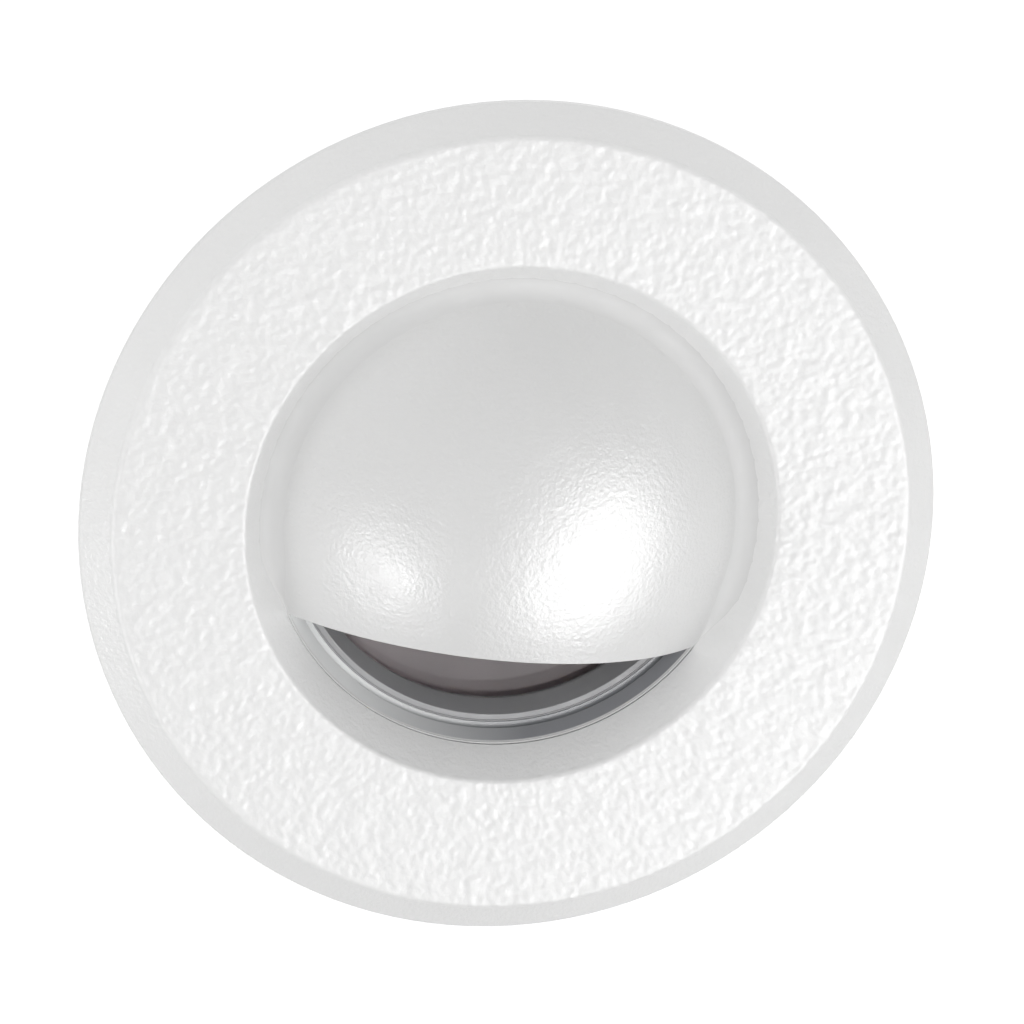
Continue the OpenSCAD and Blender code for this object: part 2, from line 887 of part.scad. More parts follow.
module clip_pin(side) {
    head_r = 1.7;
    head_t = 0.6;
    color("silver")
    clip_side(side)
    translate([pivot_x, pivot_y, 0]) {
        translate([0, 0, -ear_half])
            cylinder(r = pin_r, h = 2 * ear_half);
        for (low = [-ear_half - head_t, ear_half])
            translate([0, 0, low])
                cylinder(r = head_r, h = head_t);
    }
}

// Middle line of the torsion spring about the pivot, from its fixed leg,
// through its curls, to the leg that crosses over and lies on the arm
coil_steps = 8;
leg_turn = 320;
crossing = 2.95;
coil_end = leg_turn - 90 + arm_rest_angle + 360 * coil_turns;
coil_span = coil_end - 180;
coil_height = coil_rise * coil_span / 360;
coil_points = ceil(coil_span / 360 * coil_steps);
fixed_leg = 5;
leg_bend = 4.6;
arm_leg = 11;
leg_clear = 0.2;
leg_out = arm_t / 2 + wire_r + leg_clear;
arm_dir = [sin(arm_rest_angle), -cos(arm_rest_angle)];
arm_out = [cos(arm_rest_angle), sin(arm_rest_angle)];

function in_plane(v, z) = [v.x, v.y, z];
function arm_point(along, out, z) = in_plane(arm_dir * along + arm_out * out, z);

spring_path = concat(
    [[-coil_r, fixed_leg, -coil_height / 2], [-coil_r, fixed_leg / 2, -coil_height / 2]],
    [for (i = [0:coil_points])
        let (a = 180 + coil_span * i / coil_points)
        [coil_r * cos(a), coil_r * sin(a), coil_height * (i / coil_points - 0.5)]],
    [
        arm_point(
            coil_r * cos(leg_turn) - crossing * sin(leg_turn),
            coil_r * sin(leg_turn) + crossing * cos(leg_turn),
            coil_height / 2
        ),
        arm_point(leg_bend, leg_out, coil_height / 2),
        arm_point(arm_leg, leg_out, coil_height / 2)
    ]
);

// Tube of n sides along a path whose direction is never upright
function path_dir(p, i) = unit(p[min(i + 1, len(p) - 1)] - p[max(i - 1, 0)]);
function tube_ring(p, i, r, n) =
    let (t = path_dir(p, i), u = unit(cross(t, [0, 0, 1])), v = cross(u, t))
    [for (k = [0:n - 1]) p[i] + r * (cos(360 * k / n) * u + sin(360 * k / n) * v)];

module tube(p, r, n) {
    rings = len(p);
    points = [for (i = [0:rings - 1]) each tube_ring(p, i, r, n)];
    walls = [for (i = [0:rings - 2], k = [0:n - 1])
        let (a = i * n + k, b = i * n + (k + 1) % n)
        each [[a, a + n, b], [b, a + n, b + n]]];
    ends = concat(
        [for (k = [1:n - 2]) [0, k, k + 1]],
        [for (k = [1:n - 2]) [(rings - 1) * n, (rings - 1) * n + k + 1, (rings - 1) * n + k]]
    );
    polyhedron(points = points, faces = concat(walls, ends));
}

// Least gap between one curl's wire and another's, measured on the path's points
curl_gap = min([for (i = [0:len(spring_path) - 1], j = [i + 6:1:len(spring_path) - 1])
    norm(spring_path[i] - spring_path[j])]) - wire_d;
echo(clip_spring_least_gap_mm = curl_gap);

module clip_spring(side) {
    color("gray")
    clip_side(side)
        translate([pivot_x, pivot_y, 0])
            tube(spring_path, wire_r, 6);
}

// The arm and its foot are drawn folded back along the body, then turned to rest
module at_rest(side) {
    clip_side(side)
        translate([pivot_x, pivot_y, 0])
            rotate([0, 0, -arm_turn])
                children();
}

// Stamped arm: side lugs on the pin, a tapering strip and a stiffening bead
module clip_arm(side) {
    lug_len = 7.5;
    taper_end = 12;
    bead_r = 1;
    bead_end = arm_len - foot_len - 1;
    color(steel)
    at_rest(side)
    difference() {
        union() {
            translate([-arm_t / 2, 0, 0])
                rotate([0, 90, 0])
                    linear_extrude(arm_t)
                        polygon(rounded([
                            [-lug_half, strip_start, 0], [lug_half, strip_start, 0],
                            [lug_half, lug_len, 1], [arm_w / 2, taper_end, 1],
                            [arm_w / 2, arm_len, 1.5], [-arm_w / 2, arm_len, 1.5],
                            [-arm_w / 2, taper_end, 1], [-lug_half, lug_len, 1]
                        ]));
            for (low = [-lug_half, lug_half - lug_t])
                translate([0, 0, low]) {
                    cylinder(r = eye_r, h = lug_t);
                    linear_extrude(lug_t)
                        polygon([
                            [-eye_r, 0], [eye_r, 0], [eye_r, strip_start],
                            [arm_t / 2, lug_len], [-arm_t / 2, lug_len], [-eye_r, strip_start]
                        ]);
                }
            intersection() {
                translate([0.1, strip_start + 3, 0])
                    rotate([-90, 0, 0])
                        cylinder(r = bead_r, h = bead_end - strip_start - 3);
                translate([-2 * bead_r, 0, -bead_r])
                    cube([2 * bead_r, arm_len, 2 * bead_r]);
            }
        }
        translate([0, 0, -ear_half])
            cylinder(r = pin_r + pin_gap, h = 2 * ear_half);
    }
}

// Soft sleeve on the arm's end, ribbed where it bears on the wall
module clip_foot(side) {
    half_t = arm_t / 2 + foot_wall;
    half_w = arm_w / 2 + foot_side;
    start = arm_len - foot_len + 0.8;
    end = arm_len + 0.9;
    color(dark_rubber)
    at_rest(side)
    difference() {
        union() {
            translate([0, 0, -half_w])
                linear_extrude(2 * half_w)
                    polygon(rounded([
                        [-half_t, start, 0.5], [half_t, start, 0.5],
                        [half_t, end, 1.2], [-half_t, end, 1.2]
                    ]));
            for (i = [0:3])
                translate([half_t - 0.1, start + 1.6 + foot_rib_step * i, -half_w + foot_rib_r])
                    cylinder(r = foot_rib_r, h = 2 * (half_w - foot_rib_r));
        }
        translate([-arm_t / 2 - 0.02, start - 1, -arm_w / 2 - 0.02])
            cube([arm_t + 0.04, arm_len - start + 1.02, arm_w + 0.04]);
    }
}

front_bezel();
eyelid_hood();
glare_ring();
glass_front_gasket();
cover_glass();
glass_rear_gasket();
reflector_cup();
wall_gasket();
body_gasket();
housing();
bezel_screws();
thermal_pad();
led_board();
led_package();
led_board_screws();
led_leads();
driver_board();
driver_coil();
driver_capacitors();
terminal_block();
driver_board_screws();
rear_cover();
rear_cover_gasket();
rear_cover_screws();
gland_body();
gland_washer();
gland_lock_nut();
gland_seal();
gland_cap();
clip_bracket(-1);  // left_clip_bracket
clip_screws(-1);  // left_clip_screws
clip_pin(-1);  // left_clip_pin
clip_spring(-1);  // left_clip_spring
clip_arm(-1);  // left_clip_arm
clip_foot(-1);  // left_clip_foot
clip_bracket(1);  // right_clip_bracket
clip_screws(1);  // right_clip_screws
clip_pin(1);  // right_clip_pin
clip_spring(1);  // right_clip_spring
clip_arm(1);  // right_clip_arm
clip_foot(1);  // right_clip_foot
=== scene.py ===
# Looks of the recessed eyelid path light: materials, sand texture, wound springs,
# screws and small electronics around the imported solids.
# The light's axis is Y, the front faces -Y and Z is up. Lengths are in millimetres.
# Where the floor, the camera and the lamps stand is in metres, as are the lamps' sizes.

import math

import bmesh
import bpy
from mathutils import Matrix, Vector, noise


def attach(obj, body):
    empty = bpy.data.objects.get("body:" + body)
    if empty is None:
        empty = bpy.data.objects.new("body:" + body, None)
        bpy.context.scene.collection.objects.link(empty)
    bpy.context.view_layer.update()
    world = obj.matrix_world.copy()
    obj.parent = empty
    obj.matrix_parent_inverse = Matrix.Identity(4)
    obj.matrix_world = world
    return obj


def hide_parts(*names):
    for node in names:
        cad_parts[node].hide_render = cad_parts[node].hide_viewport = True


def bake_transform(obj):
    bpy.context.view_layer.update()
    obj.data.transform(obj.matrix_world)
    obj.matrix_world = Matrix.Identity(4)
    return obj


MM = 0.001

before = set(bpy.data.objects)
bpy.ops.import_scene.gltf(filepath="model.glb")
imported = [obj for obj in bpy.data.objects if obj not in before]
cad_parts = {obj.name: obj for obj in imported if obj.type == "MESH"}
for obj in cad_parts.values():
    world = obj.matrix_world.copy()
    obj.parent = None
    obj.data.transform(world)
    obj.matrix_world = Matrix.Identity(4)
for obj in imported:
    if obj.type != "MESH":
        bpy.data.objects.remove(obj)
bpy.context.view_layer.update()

# Sizes shared with the solids: hood, recess and flange
HOOD_R = 27.0
THROAT_R = 22.2
RECESS_R = 24.95
DOME_Y = math.sqrt(HOOD_R ** 2 - THROAT_R ** 2)
SLOT_DROP = 11.1
SILL_R = 20.6
BEAD_R = 1.6
FLANGE_FACE_Y = -3.0
FLANGE_R = 40.0
BEVEL_W = 2.85
RIM_T = 0.7
SAND_IN_R = 24.60
SAND_OUT_R = 37.50
GRAIN_RISE = 0.145

# Glass, body and boards
GLASS_FRONT_Y = 4.6
GLASS_REAR_Y = 7.1
GLASS_R = 23.7
BODY_FLANGE_Y = 12.0
COVER_BACK_Y = 37.8
BOARD_Y = 16.0
BOARD_T = 1.6
DRIVER_Y = 24.0
DRIVER_BACK_Y = DRIVER_Y + BOARD_T

# Small electronics
LED_SIDE = 12.0
LED_SPOT_R = 4.5
LED_SPOT_Y = 14.7
LEAD_ANGLE = 30
LEAD_REACH = 13.5
LEAD_GAP = 2.2
TERMINAL_DROP = 12.21
TERMINAL_H = 5.02
TERMINAL_HALF_GAP = 2.5
TERMINAL_SCREW_R = 1.5
TERMINAL_SCREW_H = 1.2
INDUCTOR_ANGLE = 149
INDUCTOR_REACH = 11.84
CAPACITOR_ANGLES = (28, -5)
CAPACITOR_REACH = 12.49
CAPACITOR_TOP = 6.94
CAPACITOR_TOP_R = 2.6
CAPACITOR_TOP_H = 0.28
WINDING_R = 3.95
WINDING_TURNS = 9
WINDING_START = 1.15
WINDING_H = 3.5
WINDING_WIRE_R = 0.19

# Screws
SCREW_R = 1.25
SCREW_HEAD_R = 2.2
SCREW_HEAD_H = 1.6
COARSE_PITCH = 0.9
FINE_PITCH = 0.7
BEZEL_ANGLES = (90, 210, 330)
COVER_ANGLES = (30, 150, 270)
BEZEL_SCREW_REACH = 28.4
BEZEL_SCREW_L = 9.5
COVER_SCREW_REACH = 22.5
COVER_SCREW_L = 11.8
BOARD_SCREW_REACH = 15.0
BOARD_SCREW_L = 4.6
DRIVER_SCREW_REACH = 15.2
DRIVER_SCREW_L = 3.5
CLIP_SCREW_R = 1.2
CLIP_SCREW_HEAD_R = 1.9
CLIP_SCREW_HEAD_H = 1.3
CLIP_SCREW_L = 3.6
CLIP_SCREW_PITCH = 0.6
CLIP_SCREW_Y = (22.3, 16.0)

# Clips and their springs
PIVOT_X = 28.4
PIVOT_Y = 26.0
PLATE_X = 25.95
ARM_REST_ANGLE = 20
ARM_REST = math.radians(ARM_REST_ANGLE)
ARM_T = 1.0
WIRE_R = 0.4
COIL_R = 1.8
COIL_PITCH = 1.27
COIL_TURNS = 5
LEG_TURN = 320
CROSSING = 2.95
FIXED_LEG = 5.0
ARM_LEG = 11.0
LEG_BEND = 4.6


# Meshes

def add_object(name, verts, faces, smooth=True):
    """New object from points in millimetres."""
    mesh = bpy.data.meshes.new(name)
    mesh.from_pydata([tuple(c * MM for c in v) for v in verts], [], faces)
    mesh.validate()
    mesh.update()
    if smooth:
        mesh.polygons.foreach_set("use_smooth", [True] * len(mesh.polygons))
    obj = bpy.data.objects.new(name, mesh)
    bpy.context.scene.collection.objects.link(obj)
    return obj


def sharpen(obj, angle=32):
    """Marks as sharp each edge that bends more than the angle."""
    bm = bmesh.new()
    bm.from_mesh(obj.data)
    for edge in bm.edges:
        if len(edge.link_faces) == 2 and edge.calc_face_angle(0) > math.radians(angle):
            edge.smooth = False
    bm.to_mesh(obj.data)
    bm.free()
    return obj


def join_shapes(shapes):
    """One list of points and faces from several."""
    verts = []
    faces = []
    for v, f in shapes:
        start = len(verts)
        verts.extend(v)
        faces.extend([tuple(i + start for i in face) for face in f])
    return verts, faces


def moved(shape, matrix):
    """The same shape at another place."""
    verts, faces = shape
    return [tuple(matrix @ Vector(v)) for v in verts], faces


def circle(r, n):
    """Points of a circle about the origin, as pairs."""
    angles = [2 * math.pi * k / n for k in range(n)]
    return [(r * math.cos(a), r * math.sin(a)) for a in angles]


def band(low, high, n, flipped=False):
    """Faces between two rings of n points, from where each ring starts in the list."""
    quads = []
    for k in range(n):
        after = (k + 1) % n
        if flipped:
            quads.append((low + k, low + after, high + after, high + k))
        else:
            quads.append((low + k, high + k, high + after, low + after))
    return quads


def spun(outline, n):
    """Solid turned about the light's axis, from an outline of (radius, depth) that
    starts and ends on the axis."""
    verts = [(0.0, outline[0][1], 0.0)]
    rings = outline[1:-1]
    for r, y in rings:
        verts += [(x, y, z) for x, z in circle(r, n)]
    verts.append((0.0, outline[-1][1], 0.0))
    faces = [(0, 1 + k, 1 + (k + 1) % n) for k in range(n)]
    for i in range(len(rings) - 1):
        faces += band(1 + i * n, 1 + (i + 1) * n, n)
    last = len(verts) - 1
    base = 1 + (len(rings) - 1) * n
    faces += [(last, base + (k + 1) % n, base + k) for k in range(n)]
    return verts, faces


def swept(path, r, n):
    """Round wire along a path, closed at both ends."""
    pts = [Vector(p) for p in path]
    side = Vector((0, 0, 1))
    verts = []
    for i, p in enumerate(pts):
        t = (pts[min(i + 1, len(pts) - 1)] - pts[max(i - 1, 0)]).normalized()
        side = (side - t * side.dot(t)).normalized()
        other = t.cross(side)
        for k in range(n):
            a = 2 * math.pi * k / n
            verts.append(tuple(p + r * (math.cos(a) * side + math.sin(a) * other)))
    faces = []
    for i in range(len(pts) - 1):
        faces += band(i * n, (i + 1) * n, n, True)
    faces.append(tuple(reversed(range(n))))
    faces.append(tuple(range(len(verts) - n, len(verts))))
    return verts, faces


# Materials

# Values between which nearly all of a noise lies
NOISE_LOW = 0.3
NOISE_HIGH = 0.7
NOISE_ROUGHNESS = 0.55

# Convexity at which an edge starts to be rubbed, and at which it is rubbed through
WORN_LOW = 0.52
WORN_HIGH = 0.6

SOCKETS = {
    "metallic": "Metallic",
    "specular": "Specular IOR Level",
    "transmission": "Transmission Weight",
    "ior": "IOR",
}


def clamp(x):
    return max(0.0, min(1.0, x))


class Finish:
    """A material whose colour, roughness and bump come from its own nodes."""

    def __init__(self, name, colour, rough, **sockets):
        self.material = bpy.data.materials.new(name)
        self.material.use_nodes = True
        self.tree = self.material.node_tree
        self.shader = self.tree.nodes["Principled BSDF"]
        self.colour = colour
        self.rough = rough
        self.coords = self.add("ShaderNodeTexCoord").outputs["Object"]
        self.reliefs = []
        self.shader.inputs["Base Color"].default_value = (*colour, 1)
        self.shader.inputs["Roughness"].default_value = rough
        for key, value in sockets.items():
            self.shader.inputs[SOCKETS[key]].default_value = value

    def add(self, kind, **values):
        node = self.tree.nodes.new(kind)
        for key, value in values.items():
            setattr(node, key, value)
        return node

    def link(self, out, into):
        self.tree.links.new(out, into)

    def source(self, socket):
        """What feeds one of the shader's sockets."""
        return self.shader.inputs[socket].links[0].from_socket

    def feed(self, out, socket):
        """Sends a node's output to one of the shader's sockets."""
        self.link(out, self.shader.inputs[socket])
        return self

    def noise(self, size, detail, stretch=None):
        """Noise with grains of the given size in millimetres."""
        coords = self.coords
        if stretch:
            mapping = self.add("ShaderNodeMapping")
            mapping.inputs["Scale"].default_value = stretch
            self.link(coords, mapping.inputs["Vector"])
            coords = mapping.outputs["Vector"]
        tex = self.add("ShaderNodeTexNoise")
        tex.inputs["Scale"].default_value = 1 / (size * MM)
        tex.inputs["Detail"].default_value = detail
        tex.inputs["Roughness"].default_value = NOISE_ROUGHNESS
        self.link(coords, tex.inputs["Vector"])
        return tex.outputs["Fac"]

    def cells(self, size, feature="F1"):
        """Pattern of cells of the given size in millimetres."""
        tex = self.add("ShaderNodeTexVoronoi", feature=feature)
        tex.inputs["Scale"].default_value = 1 / (size * MM)
        self.link(self.coords, tex.inputs["Vector"])
        return tex.outputs["Distance"]

    def ramp(self, fac, low, high, first, last):
        """Value that goes from first to last while fac goes from low to high."""
        node = self.add("ShaderNodeMapRange")
        node.inputs["From Min"].default_value = low
        node.inputs["From Max"].default_value = high
        node.inputs["To Min"].default_value = first
        node.inputs["To Max"].default_value = last
        self.link(fac, node.inputs["Value"])
        return node.outputs["Result"]

    def mixed(self, share, first, last):
        """Colour between two others, each of them three numbers or a node's output."""
        node = self.add("ShaderNodeMix", data_type="RGBA")
        self.link(share, node.inputs[0])
        ends = [socket for socket in node.inputs if socket.type == "RGBA"]
        for socket, colour in zip(ends, (first, last)):
            if isinstance(colour, tuple):
                socket.default_value = (*colour, 1)
            else:
                self.link(colour, socket)
        return [socket for socket in node.outputs if socket.type == "RGBA"][0]

    def shade(self, size, spread, detail=4.0):
        """Slow drift of the colour about its own tone."""
        dark = tuple(clamp(c * (1 - spread)) for c in self.colour)
        light = tuple(clamp(c * (1 + spread)) for c in self.colour)
        share = self.ramp(self.noise(size, detail), NOISE_LOW, NOISE_HIGH, 0.0, 1.0)
        return self.feed(self.mixed(share, dark, light), "Base Color")

    def polish(self, size, spread, stretch=None):
        """Roughness that varies over the surface."""
        fac = self.noise(size, 4.0, stretch)
        low = clamp(self.rough - spread)
        high = clamp(self.rough + spread)
        return self.feed(self.ramp(fac, NOISE_LOW, NOISE_HIGH, low, high), "Roughness")

    def bump(self, fac, depth):
        """Adds a relief, with its depth in millimetres."""
        node = self.add("ShaderNodeBump")
        node.inputs["Strength"].default_value = 1.0
        node.inputs["Distance"].default_value = depth * MM
        self.link(fac, node.inputs["Height"])
        if self.reliefs:
            self.link(self.reliefs[-1].outputs["Normal"], node.inputs["Normal"])
        self.reliefs.append(node)
        return self.feed(node.outputs["Normal"], "Normal")

    def grain(self, size, detail, depth, stretch=None):
        """Adds a relief of noise."""
        return self.bump(self.noise(size, detail, stretch), depth)

    def coated_inside_with_painted_light(self, centre, r, first, last, painted_lit_x, painted_shaded_x, rough):
        """Another coat wherever the surface is nearer than r to a centre, in millimetres.
        It goes from the first colour to the last one between two distances across, with painted
        light on one side and painted shade on the other, and the reliefs are calmer under it."""
        edge = 0.05
        calm = 0.15
        span = self.add("ShaderNodeVectorMath", operation="DISTANCE")
        span.inputs[1].default_value = tuple(c * MM for c in centre)
        self.link(self.coords, span.inputs[0])
        inside = self.ramp(span.outputs["Value"], (r - edge) * MM, (r + edge) * MM, 1.0, 0.0)
        parts = self.add("ShaderNodeSeparateXYZ")
        self.link(self.coords, parts.inputs[0])
        across = self.ramp(parts.outputs[0], painted_lit_x * MM, painted_shaded_x * MM, 0.0, 1.0)
        coat = self.mixed(across, first, last)
        self.feed(self.mixed(inside, self.source("Base Color"), coat), "Base Color")
        rough_mix = self.add("ShaderNodeMix", data_type="FLOAT")
        ends = [s for s in rough_mix.inputs if s.type == "VALUE" and s.name in ("A", "B")]
        self.link(self.source("Roughness"), ends[0])
        ends[1].default_value = rough
        self.link(inside, rough_mix.inputs[0])
        self.feed(rough_mix.outputs[0], "Roughness")
        for relief in self.reliefs:
            self.link(self.ramp(inside, 0.0, 1.0, 1.0, calm), relief.inputs["Strength"])
        return self

    def worn_edges(self, colour):
        """Edges rubbed to another colour, where the surface is most convex."""
        point = self.add("ShaderNodeNewGeometry").outputs["Pointiness"]
        share = self.ramp(point, WORN_LOW, WORN_HIGH, 0.0, 1.0)
        return self.feed(self.mixed(share, self.source("Base Color"), colour), "Base Color")


# White coats: one powder coat, painted lighter on the sand face as painted light and darker on the
# hood as painted shade
SMOOTH_WHITE = (0.84, 0.84, 0.837)
HOOD_SHADED_WHITE = (0.738, 0.738, 0.735)
SAND_LIT_WHITE = (0.86, 0.86, 0.857)

# Coat of the hood's inside, which starts at a small depth under the outer surface. It goes
# from pale at its left to grey at its right: painted light on the left, painted shade on the right.
INSIDE_LIT_PALE = (0.79, 0.80, 0.80)
INSIDE_SHADED_GREY = (0.26, 0.265, 0.28)
INSIDE_LIT_X = -13
INSIDE_SHADED_X = 5
INSIDE_DEPTH = 0.35
INSIDE_ROUGH = 0.34


def smooth_coat(name, colour):
    """Smooth powder coat with its faint orange peel."""
    coat = Finish(name, colour, 0.38).shade(14.0, 0.012).polish(3.0, 0.05)
    return coat.grain(1.1, 3.0, 0.040).grain(0.42, 2.0, 0.068)


smooth_paint = smooth_coat("smooth_paint", SMOOTH_WHITE)
hood_paint = smooth_coat("hood_paint", HOOD_SHADED_WHITE)
# The hood's inside gets painted light at its left and painted shade at its right
hood_paint.coated_inside_with_painted_light((0, DOME_Y, 0), HOOD_R - INSIDE_DEPTH, INSIDE_LIT_PALE, INSIDE_SHADED_GREY,
                         INSIDE_LIT_X, INSIDE_SHADED_X, INSIDE_ROUGH)

# Darker than the hood's white: painted shade in the valley and in the throat's gap
bead_shaded_paint = Finish("bead_shaded_paint", (0.72, 0.72, 0.717), 0.75)
bead_shaded_paint.shade(6.0, 0.012).polish(2.0, 0.05).grain(0.30, 2.0, 0.004)

sand_paint = Finish("sand_paint", SAND_LIT_WHITE, 0.46, specular=0.35)
sand_paint.shade(1.1, 0.02, 3.0).polish(1.0, 0.08)
sand_paint.grain(0.30, 3.0, 0.024).grain(0.12, 2.0, 0.008)

grey_ring = Finish("grey_ring", (0.31, 0.31, 0.32), 0.50)
grey_ring.shade(6.0, 0.05).polish(2.0, 0.08).grain(0.25, 2.0, 0.004)

clear_glass = Finish("clear_glass", (0.96, 0.94, 0.95), 0.02, specular=0.15, transmission=1.0, ior=1.5)
clear_glass.shade(12.0, 0.02)
clear_glass.feed(clear_glass.ramp(clear_glass.noise(9.0, 2.0), 0.3, 0.8, 0.01, 0.04), "Roughness")

silicone = Finish("silicone", (0.33, 0.33, 0.34), 0.55)
silicone.shade(3.0, 0.08).polish(1.5, 0.1).grain(0.4, 3.0, 0.012)

foam = Finish("foam", (0.045, 0.045, 0.047), 0.9)
foam.shade(1.2, 0.35).bump(foam.cells(0.45), 0.12).grain(0.2, 3.0, 0.03)

reflector = Finish("reflector", (0.80, 0.72, 0.73), 0.34, metallic=0.6)
reflector.shade(6.0, 0.04).polish(4.0, 0.04).grain(2.4, 2.0, 0.006)

cast_metal = Finish("cast_metal", (0.42, 0.43, 0.45), 0.46, metallic=1.0)
cast_metal.shade(5.0, 0.10).polish(1.4, 0.12).grain(2.6, 3.0, 0.06).grain(0.35, 3.0, 0.022)
cast_metal.worn_edges((0.62, 0.62, 0.64))

zinc_steel = Finish("zinc_steel", (0.50, 0.51, 0.53), 0.36, metallic=1.0)
zinc_steel.shade(2.5, 0.10).polish(1.2, 0.09, (1, 1, 0.08)).grain(0.3, 2.0, 0.004, (1, 1, 0.06))
zinc_steel.worn_edges((0.68, 0.68, 0.70))

spring_steel = Finish("spring_steel", (0.30, 0.30, 0.32), 0.28, metallic=1.0)
spring_steel.shade(1.2, 0.12).polish(0.8, 0.08).grain(0.12, 2.0, 0.003)

solder_mask = Finish("solder_mask", (0.035, 0.17, 0.06), 0.32)
solder_mask.shade(3.0, 0.15).polish(1.5, 0.06)
solder_mask.bump(solder_mask.cells(1.7, "DISTANCE_TO_EDGE"), 0.015)

white_mask = Finish("white_mask", (0.78, 0.78, 0.75), 0.34)
white_mask.shade(3.0, 0.03).polish(1.5, 0.06).grain(0.3, 2.0, 0.004)

ceramic = Finish("ceramic", (0.80, 0.79, 0.75), 0.45)
ceramic.shade(1.5, 0.04).grain(0.2, 2.0, 0.004)

phosphor = Finish("phosphor", (0.80, 0.58, 0.10), 0.36)
phosphor.shade(0.8, 0.10).polish(0.6, 0.08).grain(0.35, 3.0, 0.02)

thermal_pad = Finish("thermal_pad", (0.50, 0.53, 0.56), 0.8)
thermal_pad.shade(1.5, 0.08).grain(0.5, 3.0, 0.03)

red_sleeve = Finish("red_sleeve", (0.52, 0.035, 0.025), 0.38)
red_sleeve.shade(1.5, 0.10).grain(0.4, 2.0, 0.008)

copper = Finish("copper", (0.62, 0.26, 0.11), 0.26, metallic=1.0)
copper.shade(0.6, 0.18).polish(0.5, 0.08).grain(0.2, 2.0, 0.004)

ferrite = Finish("ferrite", (0.07, 0.07, 0.075), 0.6)
ferrite.shade(0.8, 0.2).grain(0.3, 3.0, 0.02)

can_sleeve = Finish("can_sleeve", (0.035, 0.05, 0.16), 0.25)
can_sleeve.shade(2.0, 0.12).polish(1.0, 0.06).grain(0.6, 2.0, 0.006)

green_plastic = Finish("green_plastic", (0.05, 0.27, 0.13), 0.42)
green_plastic.shade(2.0, 0.10).grain(0.3, 2.0, 0.008)

black_nylon = Finish("black_nylon", (0.028, 0.028, 0.031), 0.48)
black_nylon.shade(2.0, 0.25).polish(1.0, 0.08).grain(0.35, 3.0, 0.012)
black_nylon.worn_edges((0.07, 0.07, 0.075))

black_rubber = Finish("black_rubber", (0.03, 0.03, 0.032), 0.62)
black_rubber.shade(1.5, 0.25).grain(0.3, 3.0, 0.015)

solder = Finish("solder", (0.66, 0.66, 0.67), 0.25, metallic=1.0)
solder.shade(0.5, 0.12).grain(0.2, 2.0, 0.01)

NODE_FINISH = {
    "front_bezel": smooth_paint,
    "eyelid_hood": hood_paint,
    "glare_ring": grey_ring,
    "glass_front_gasket": silicone,
    "cover_glass": clear_glass,
    "glass_rear_gasket": silicone,
    "reflector_cup": reflector,
    "wall_gasket": foam,
    "body_gasket": silicone,
    "housing": cast_metal,
    "bezel_screws": zinc_steel,
    "thermal_pad": thermal_pad,
    "led_board": white_mask,
    "led_package": ceramic,
    "led_board_screws": zinc_steel,
    "led_leads": red_sleeve,
    "driver_board": solder_mask,
    "driver_coil": ferrite,
    "driver_capacitors": can_sleeve,
    "terminal_block": green_plastic,
    "driver_board_screws": zinc_steel,
    "rear_cover": cast_metal,
    "rear_cover_gasket": silicone,
    "rear_cover_screws": zinc_steel,
    "gland_body": black_nylon,
    "gland_washer": silicone,
    "gland_lock_nut": black_nylon,
    "gland_seal": silicone,
    "gland_cap": black_nylon,
}
CLIP_FINISH = {
    "clip_bracket": zinc_steel,
    "clip_screws": zinc_steel,
    "clip_pin": zinc_steel,
    "clip_spring": spring_steel,
    "clip_arm": zinc_steel,
    "clip_foot": black_rubber,
}
for side in ("left", "right"):
    for part, finish in CLIP_FINISH.items():
        NODE_FINISH[side + "_" + part] = finish


def dress(obj, finish):
    """Gives every material slot of an object the same finish."""
    if not obj.material_slots:
        obj.data.materials.append(None)
    for slot in obj.material_slots:
        slot.material = finish.material
    return obj


for node_name, node_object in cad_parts.items():
    dress(node_object, NODE_FINISH[node_name])


def place(obj, finish, body, slot, *replaced):
    """Finishes a new piece: its material, its body and the nodes it stands for. The slot is not used.
    """
    dress(obj, finish)
    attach(obj, body)
    if replaced:
        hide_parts(*replaced)
    return obj


# Sand texture of the flange's face

# Each layer of the sand: size of its grains, its place in the noise and its strength
SAND_LAYERS = ((0.78, 3.1, 0.50), (0.45, 8.7, 0.40), (1.7, 5.4, 0.35))


def sand_height(x, z):
    """Relief of the sand paint at a point, from 0 to 1."""
    height = 0.5
    for size, place_in_noise, strength in SAND_LAYERS:
        height += strength * noise.noise(Vector((x / size, place_in_noise, z / size)))
    return clamp(height)


def flange_height(r):
    """Height of the bezel's front above the wall, with its two edges a little softened."""
    soft = 0.06
    cone = -FLANGE_FACE_Y * (r - THROAT_R) / (RECESS_R - THROAT_R)
    bevel = RIM_T + (FLANGE_R - r) * (-FLANGE_FACE_Y - RIM_T) / BEVEL_W
    heights = (cone, -FLANGE_FACE_Y, bevel)
    return -soft * math.log(sum(math.exp(-h / soft) for h in heights))


def flange_texture():
    """Thin ring over the flange's face and its two edges with the relief of the sand paint.
    Its rim lies sunk in the solid, and the relief fades out towards the rim."""
    step = 0.20
    fade = 0.45
    sink = 0.02
    lift = 0.04
    thick = 0.25
    around = int(2 * math.pi * SAND_OUT_R / step)
    across = int((SAND_OUT_R - SAND_IN_R) / step)
    verts = []
    for i in range(across + 1):
        r = SAND_IN_R + (SAND_OUT_R - SAND_IN_R) * i / across
        edge = clamp(min(r - SAND_IN_R, SAND_OUT_R - r) / fade)
        for x, z in circle(r, around):
            rise = -sink + edge * (lift + GRAIN_RISE * sand_height(x, z))
            verts.append((x, -flange_height(r) - rise, z))
    for r in (SAND_OUT_R, SAND_IN_R):
        verts += [(x, thick - flange_height(r), z) for x, z in circle(r, around)]
    rows = across + 3
    faces = []
    for i in range(rows):
        faces += band(i * around, (i + 1) % rows * around, around)
    return add_object("flange_texture", verts, faces)


place(flange_texture(), sand_paint, "root", "white_powder_coat")
